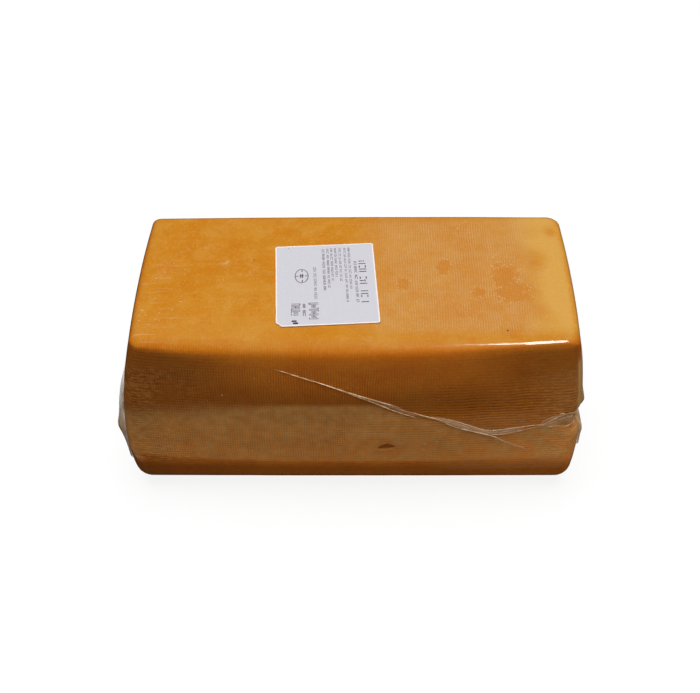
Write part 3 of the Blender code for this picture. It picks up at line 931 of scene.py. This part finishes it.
def end_place(side, across, z):
    """Points on an end face. Across runs from -1 at the front to 1 at the back."""
    share = (z - FOOT_RADIUS) / (HEIGHT - TOP_RADIUS - FOOT_RADIUS)
    w = (2 * share - 1) * (1 - RISE_SHARE)
    return loaf_points(np.stack((np.full_like(across, side), across, w), axis=1))


def unit_grid(columns, count):
    across, up = np.meshgrid(np.linspace(-1, 1, columns), np.linspace(-1, 1, count))
    return across.ravel(), up.ravel()


def end_sheet(name, side, base, columns, lift, border, material, cover):
    """A thin sheet that stands out from points on an end face, with its border sunk in."""
    lift = lift * border - BORDER_SINK * (1 - border)
    points = base + np.outer(side * lift, (1, 0, 0))
    faces = sheet_faces(columns, len(base) // columns)
    new_piece(name, points, faces, material, cover=cover)


def make_ear(name, sizes, material, seed):
    """A corner of the bag, folded flat on an end face: a thin rippled sheet."""
    side, facing, low, high, reach, proud, start, foot, head, narrowing, middle = sizes
    across, up = unit_grid(EAR_COLUMNS, EAR_ROWS)
    share = (across * side * facing + 1) / 2
    width = reach * (1 - np.where(up < 0, narrowing, EAR_NARROWING) * up**2)
    z = low + (high - low) * (up + 1) / 2
    base = end_place(side, facing * (1 - ARC_SHARE / 2 - width * (1 - share)), z)
    ripple = noise_values(base, 180, seed) * 0.22 + noise_values(base, 420, seed + 1) * 0.14
    lift = EAR_INNER_LIFT + (1 - EAR_INNER_LIFT) * share
    lift *= proud * (1 - EAR_FLATTENING * (up + EAR_DROOP) ** 2) * (0.97 - 0.35 * abs(ripple))
    lift *= foot + (head - foot) * ease((up - start) / EAR_TURN)
    lift *= 1 + middle * np.exp(-(((up + 0.15) / 0.25) ** 2))
    border = np.minimum(ease((1 - abs(up)) / 0.04), ease((1 - abs(across)) / 0.12))
    fading = 0.94 - 0.32 * ease((up + 0.2) / 0.8) - 0.14 * ease((up - 0.4) / 0.4) if side < 0 else 1
    cover = fading * (0.3 + 0.7 * border) * (0.45 + 0.55 * ease(1.6 * share))
    end_sheet(name, side, base, EAR_COLUMNS, lift, border, material, cover)


def make_ears():
    pale = ear_material("ear_film_pale", (0.7, 0.46, 0.23))
    clear = ear_material("ear_film_clear", (0.92, 0.55, 0.25))
    for index, (name, sizes) in enumerate(EARS.items()):
        make_ear(name, sizes, pale if sizes[0] < 0 else clear, 20 + 3 * index)


def make_seam(name, side, middle, material):
    """The welded seam across an end, folded flat on it, with upright ribs."""
    across, up = unit_grid(SEAM_COLUMNS, SEAM_ROWS)
    base = end_place(side, SEAL_HALF_SPAN * across * side, middle + SEAL_HEIGHT / 2 * up)
    rib = 0.5 + 0.5 * np.sin(base[:, 1] / SEAM_RIB * 2 * math.pi)
    droop = noise_values(base, 70, 51 + side) * 0.25
    border = np.minimum(ease((1 - abs(up)) / 0.22), ease((1 - abs(across)) / 0.05))
    lift = SEAL_PROUD * (0.78 + droop * 0.4) + SEAM_RIB_HEIGHT * rib
    end_sheet(name, side, base, SEAM_COLUMNS, lift, border, material, 0.25 + 0.75 * border)


def make_seams():
    material = seam_material()
    make_seam("seam_left", -1, LEFT_SEAL_MIDDLE, material)
    make_seam("seam_right", 1, PINCH_HEIGHT, material)


# Dark marks on the top and pale flecks on the front, as places and radii
TOP_MARKS = ((78.8, -43.4, 0.6), (-55.3, 12.6, 0.45))
FRONT_FLECKS = ((37.3, 46.3, 0.9), (43.6, 48.1, 0.55), (36.9, 41.3, 0.75), (-69, 80, 0.35))
DOME_SIDES = 9
DOME_HEIGHT = 0.3  # as a share of the radius
FLECK_SEED = 4
FLECK_PROUD = -0.1


def add_dome(shape, centre, out, radius, stretch=1):
    """A low round bump on the film, a little longer along X."""
    points, faces = shape
    centre, out = Vector(centre), Vector(out)
    side = (Vector((1, 0, 0)) - out * out[0]).normalized()
    other = out.cross(side)
    first = len(points)
    top = DOME_HEIGHT * min(radius, 0.5)
    for size, height in ((1, -0.02), (0.6, 0.7 * top)):
        for index in range(DOME_SIDES):
            turn = 2 * math.pi * index / DOME_SIDES
            aside = side * (math.cos(turn) * stretch) + other * math.sin(turn)
            points.append(centre + (aside * radius * size + out * height) * MM)
    points.append(centre + out * top * MM)
    for index in range(DOME_SIDES):
        a, b = first + index, first + (index + 1) % DOME_SIDES
        faces.append([a, b, b + DOME_SIDES, a + DOME_SIDES])
        faces.append([a + DOME_SIDES, b + DOME_SIDES, first + 2 * DOME_SIDES])


def dome_on_top(shape, x, y, radius, stretch=1):
    centre = Vector((x * MM, y * MM, HEIGHT - FILM_DEPTH)) + Vector(LOAF_SHIFT)
    add_dome(shape, centre, (0, 0, 1), radius, stretch)


def dome_on_front(shape, x, z, radius, stretch=1):
    (centre,), (out,) = front_place([x], [z], [FLECK_PROUD])
    add_dome(shape, centre, out, radius, stretch)


def make_marks():
    """Two dark burnt marks in the rind of the top."""
    shape = [], []
    for place_and_radius in TOP_MARKS:
        dome_on_top(shape, *place_and_radius)
    new_piece("rind_marks", *shape, spot_material("burnt_spot", (0.17, 0.045, 0.012), 0.85))


def make_flecks():
    """Small pale bubbles and grains under the film."""
    draw = random.Random(FLECK_SEED)
    shape = [], []
    for _ in range(38):
        x, y = draw.uniform(-113, -90), draw.triangular(-48, 16, -34)
        dome_on_top(shape, x, y, draw.uniform(0.14, 0.34), draw.uniform(1, 2.4))
    for _ in range(34):
        x, y, half_x, half_y = draw.choice(BLOTCHES)
        turn, reach = draw.uniform(0, 2 * math.pi), draw.uniform(0.85, 1.25)
        x, y = x + half_x * reach * math.cos(turn), y + half_y * reach * math.sin(turn)
        dome_on_top(shape, x, y, draw.uniform(0.14, 0.36))
    for _ in range(40):
        x, y = draw.uniform(-108, 108), draw.uniform(-48, 44)
        dome_on_top(shape, x, y, draw.uniform(0.12, 0.28))
    for place_and_radius in FRONT_FLECKS:
        dome_on_front(shape, *place_and_radius, 1.3)
    for _ in range(46):
        x, z = draw.uniform(-108, 98), draw.uniform(24, 94)
        dome_on_front(shape, x, z, draw.uniform(0.1, 0.24))
    new_piece("pale_flecks", *shape, spot_material("pale_fleck", (0.81, 0.47, 0.19), 1))


# The label
LABEL_WIDTH = 54.1
LABEL_DEPTH = 64
LABEL_CENTRE = (-15.3, -7.6)
LABEL_TURN = math.radians(3.4)
LABEL_CORNER = 1.3
LABEL_CUT = 3.1
LABEL_RIM = 0.62
RIM_FADE = 0.12
LABEL_LOW = 108.5
LABEL_BEVEL = 0.08
CORNER_STEPS = 8
PRINT_PROUD = 0.03

# Lines of print: x of the line's middle, y of its top end, its length and size, and its weight
PRINT_LINES = (
    (20.1, 17.9, 34.2, 3.9, 0.62),
    (16.3, 17, 32.6, 1.5, 0.34),
    (13.3, 28.8, 34, 1.2, 0.26),
    (11, 28.8, 44, 1.2, 0.26),
    (8.3, 28.8, 27.2, 1.2, 0.28),
    (5.9, 28.6, 23.5, 1.2, 0.28),
    (3.7, 28.8, 27, 1.2, 0.28),
    (1.6, 28.6, 31.8, 1.2, 0.28),
    (-0.8, 28.2, 33.5, 1.3, 0.34),
    (-5.8, 13.6, 25.8, 1.4, 0.28),
    (-12.2, -15.4, 9.4, 1.5, 0.42),
)
# Columns of tall bars: x of their middle, y of the first, how many, their length and spacing
TALL_BARS = ((-7.2, -15.6, 7, 4.9, 1.86), (-16.6, -15.8, 5, 4.7, 1.9))
# Solid blobs of print: x, y, width and length
PRINT_BLOBS = ((-17.6, -28.4, 2.6, 1.2), (-16.9, -30, 2.6, 1.3), (-19.6, 30, 0.4, 0.4))
RING_PLACE = (-13, 6.6)
RING_HALF_SIZES = (3.7, 5.6)
RING_LINE = 0.4
RING_STEPS = 40
PRINT_SEED = 7
SMALL_PRINT = 1.2  # the size of print that the lengths and gaps of its marks are for


def label_point(x, y, z):
    """A place on the label, in millimetres from its middle, in the object's frame."""
    turned = Matrix.Rotation(LABEL_TURN, 3, "Z") @ Vector((x, y, 0))
    return (Vector((*LABEL_CENTRE, z)) + turned) * MM + Vector(LOAF_SHIFT)


def label_outline(inset):
    """The label's outline from its middle: three round corners and one cut off straight."""
    half_x, half_y = LABEL_WIDTH / 2 - inset, LABEL_DEPTH / 2 - inset
    cut = LABEL_CUT - inset * (2 - math.sqrt(2))
    corner = max(LABEL_CORNER - inset, 0.2)
    outline = [(-half_x, -half_y + cut), (-half_x + cut, -half_y)]
    for side_x, side_y, start in ((1, -1, -90), (1, 1, 0), (-1, 1, 90)):
        for step in range(CORNER_STEPS + 1):
            turn = math.radians(start + 90 * step / CORNER_STEPS)
            x = side_x * (half_x - corner) + corner * math.cos(turn)
            y = side_y * (half_y - corner) + corner * math.sin(turn)
            outline.append((x, y))
    return outline


def make_label(top):
    """A paper sticker with a rounded edge and a bare rim. Its top is in millimetres."""
    rings = (
        (0, LABEL_LOW, 1),
        (0, top - LABEL_BEVEL, 1),
        (LABEL_BEVEL, top, 1),
        (LABEL_RIM, top, 1),
        (LABEL_RIM + RIM_FADE, top, 0),
    )
    points, rim = [], []
    for inset, z, bright in rings:
        outline = label_outline(inset)
        points += [label_point(x, y, z) for x, y in outline]
        rim += [bright] * len(outline)
    count = len(outline)
    faces = [[b, a, d, c] for a, b, c, d in tube_faces(0, count, len(rings))]
    faces.append([len(points) - count + index for index in range(count)])
    faces.append(list(reversed(range(count))))
    label = new_piece("paper_label", points, faces, paper_material(), "label_paper", rim=rim)
    label.data.set_sharp_from_angle(angle=math.radians(30))
    return label


def add_bar(shape, x, y, width, length):
    """A small flat bar of ink, its middle at x and y in millimetres on the label."""
    points, faces = shape
    faces.append([len(points) + corner for corner in range(4)])
    for side_x, side_y in ((-1, -1), (1, -1), (1, 1), (-1, 1)):
        points.append((x + side_x * width / 2, y + side_y * length / 2))


def add_mark(draw, shape, x, y, size, weight):
    """One upright mark of a line of print, made of one or two short bars. Returns its length."""
    length = draw.uniform(0.5, 0.85) * size / SMALL_PRINT
    kind = draw.random()
    middle = y - length / 2
    if kind < 0.4:
        add_bar(shape, x, middle, size, weight)
    elif kind < 0.7:
        offset = draw.choice((-0.22, 0.22)) * size
        add_bar(shape, x + offset, middle, size * 0.55, weight)
        add_bar(shape, x - offset, middle, weight * 0.8, length * 0.7)
    else:
        for side in (-1, 1):
            add_bar(shape, x + side * (size - weight) / 2, middle, weight * 0.9, length * 0.8)
    return length


def add_ring(shape):
    """A plain oval ring with a short bar on each side and a small blot in its middle."""
    points, faces = shape
    first = len(points)
    middle_x, middle_y = RING_PLACE
    for step in range(RING_STEPS):
        turn = 2 * math.pi * step / RING_STEPS
        for line in (0, RING_LINE):
            x = middle_x + (RING_HALF_SIZES[0] - line) * math.cos(turn)
            points.append((x, middle_y + (RING_HALF_SIZES[1] - line) * math.sin(turn)))
        a, b = first + 2 * step, first + 2 * ((step + 1) % RING_STEPS)
        faces.append([a, b, b + 1, a + 1])
    for offset in (-1, 1):
        add_bar(shape, middle_x + offset * 2.4, middle_y, 1.4, 0.5)
        add_bar(shape, middle_x + offset * 0.5, middle_y, 0.55, 3.2)
        add_bar(shape, middle_x + 0.3, middle_y + offset * 4.2, 0.5, 1.6)
    add_bar(shape, middle_x, middle_y + 0.2, 2.2, 0.7)


def make_print(z):
    """Plain bars and dots in lines, and a plain ring, in place of the label's wording."""
    draw = random.Random(PRINT_SEED)
    shape = [], []
    for x, top, length, size, weight in PRINT_LINES:
        y = top
        while y > top - length:
            stop = max(y - draw.uniform(1.8, 5.2) * size / SMALL_PRINT, top - length)
            while y > stop:
                y -= add_mark(draw, shape, x, y, size, weight)
            y -= draw.uniform(0.6, 1.1) * size / SMALL_PRINT
    for x, top, count, length, spacing in TALL_BARS:
        for index in range(count):
            y = top - index * spacing
            for side in (-0.5, 0.5):
                add_bar(shape, x, y + side, length * draw.choice((1, 1, 0.55)), 0.34)
            add_bar(shape, x + draw.choice((-0.48, 0, 0.48)) * length, y, 0.46, 1.1)
    for blob in PRINT_BLOBS:
        add_bar(shape, *blob)
    add_ring(shape)
    points = [label_point(x, y, z) for x, y in shape[0]]
    new_piece("label_print", points, shape[1], ink_material(), "label_paper").data.shade_flat()


FLOOR_HALF_SIZE = 30
FLOOR_DROP = 0.0003
FLOOR_GLOW = 0.88


def make_stage():
    """A pale floor that only the camera sees."""
    mesh = bpy.data.meshes.new("floor")
    corners = ((-1, -1), (1, -1), (1, 1), (-1, 1))
    corners = [(x * FLOOR_HALF_SIZE, y * FLOOR_HALF_SIZE, 0) for x, y in corners]
    mesh.from_pydata(corners, [], [[0, 1, 2, 3]])
    material = Graph("pale_floor").finish(
        base_color=(0.12, 0.12, 0.12),
        roughness=0.9,
        emission_color=(1, 1, 1),
        emission_strength=FLOOR_GLOW,
        specular_ior_level=0,
    )
    mesh.materials.append(material)
    floor = add_object("floor", mesh)
    floor.location.z = -FLOOR_DROP
    floor.visible_diffuse = floor.visible_shadow = floor.visible_glossy = False


# The soft light from above, and the surroundings' brightness below and above the horizon
SUN_STRENGTH = 3.3
SUN_ANGLE = math.radians(50)
SURROUND_COLOUR = (1, 0.98, 0.95)
BRIGHTNESS_BELOW = 0.42
BRIGHTNESS_ABOVE = 0.06
HORIZON = 0.2  # how far up and down the one goes over into the other

# A window that shows only in the gloss of the front's upper edge
WINDOW_PLACE = (0.227, -0.16, 0.683)
WINDOW_FACES = (0.092, -0.052, 0.108)
WINDOW_SIZES = (0.178, 0.18)
WINDOW_POWER = 2.15


def make_lights():
    sun = bpy.data.lights.new("overhead", "SUN")
    sun.energy, sun.angle = SUN_STRENGTH, SUN_ANGLE
    add_object("overhead", sun).visible_glossy = False

    pane = bpy.data.lights.new("edge_window", "AREA")
    pane.shape, pane.energy = "RECTANGLE", WINDOW_POWER
    pane.size, pane.size_y = WINDOW_SIZES
    window = add_object("edge_window", pane)
    window.location = WINDOW_PLACE
    backward = Vector(WINDOW_PLACE) - Vector(WINDOW_FACES)
    window.rotation_euler = backward.to_track_quat("Z", "Y").to_euler()
    window.visible_diffuse = window.visible_camera = False


def make_surroundings():
    """White to the camera itself, and soft light for the object."""
    graph = Graph("studio", "worlds", "Background")
    bpy.context.scene.world = graph.owner
    graph.owner.cycles_visibility.glossy = False
    up = graph.part(graph.node("ShaderNodeTexCoord", output="Generated"), 2)
    inputs = {"Value": up, 1: -HORIZON, 2: HORIZON, 3: BRIGHTNESS_BELOW, 4: BRIGHTNESS_ABOVE}
    soft = graph.node("ShaderNodeMapRange", inputs)
    to_camera = graph.node("ShaderNodeLightPath", output="Is Camera Ray")
    strength = graph.node("ShaderNodeMix", {0: to_camera, 2: soft, 3: 1})
    graph.finish(color=SURROUND_COLOUR, strength=strength)


def camera_turn():
    """The camera's rotation, with its right and up made exactly square to each other."""
    right, up = Vector(CAMERA_RIGHT), Vector(CAMERA_UP)
    back = right.cross(up).normalized()
    up = back.cross(right).normalized()
    return Matrix((right.normalized(), up, back)).transposed().to_4x4()


def make_camera():
    data = bpy.data.cameras.new("camera")
    data.sensor_width = SENSOR_WIDTH
    data.lens = FOCAL_PIXELS * SENSOR_WIDTH / IMAGE_WIDTH
    data.clip_start, data.clip_end = 0.01, 200
    camera = add_object("camera", data)
    camera.matrix_world = Matrix.Translation(CAMERA_PLACE) @ camera_turn()
    bpy.context.scene.camera = camera


def main():
    bpy.context.scene.view_settings.view_transform = "Standard"
    make_camera()
    make_stage()
    make_lights()
    make_surroundings()
    surface = loaf_surface()
    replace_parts(make_cheese(surface), "sealed_pack")
    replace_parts(make_film(surface), "sealed_pack")
    make_strands()
    make_ribbons()
    make_ears()
    make_seams()
    make_marks()
    make_flecks()
    label_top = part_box("label")[1].z / MM - PRINT_PROUD
    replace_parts(make_label(label_top), "label")
    make_print(label_top + PRINT_PROUD)


main()
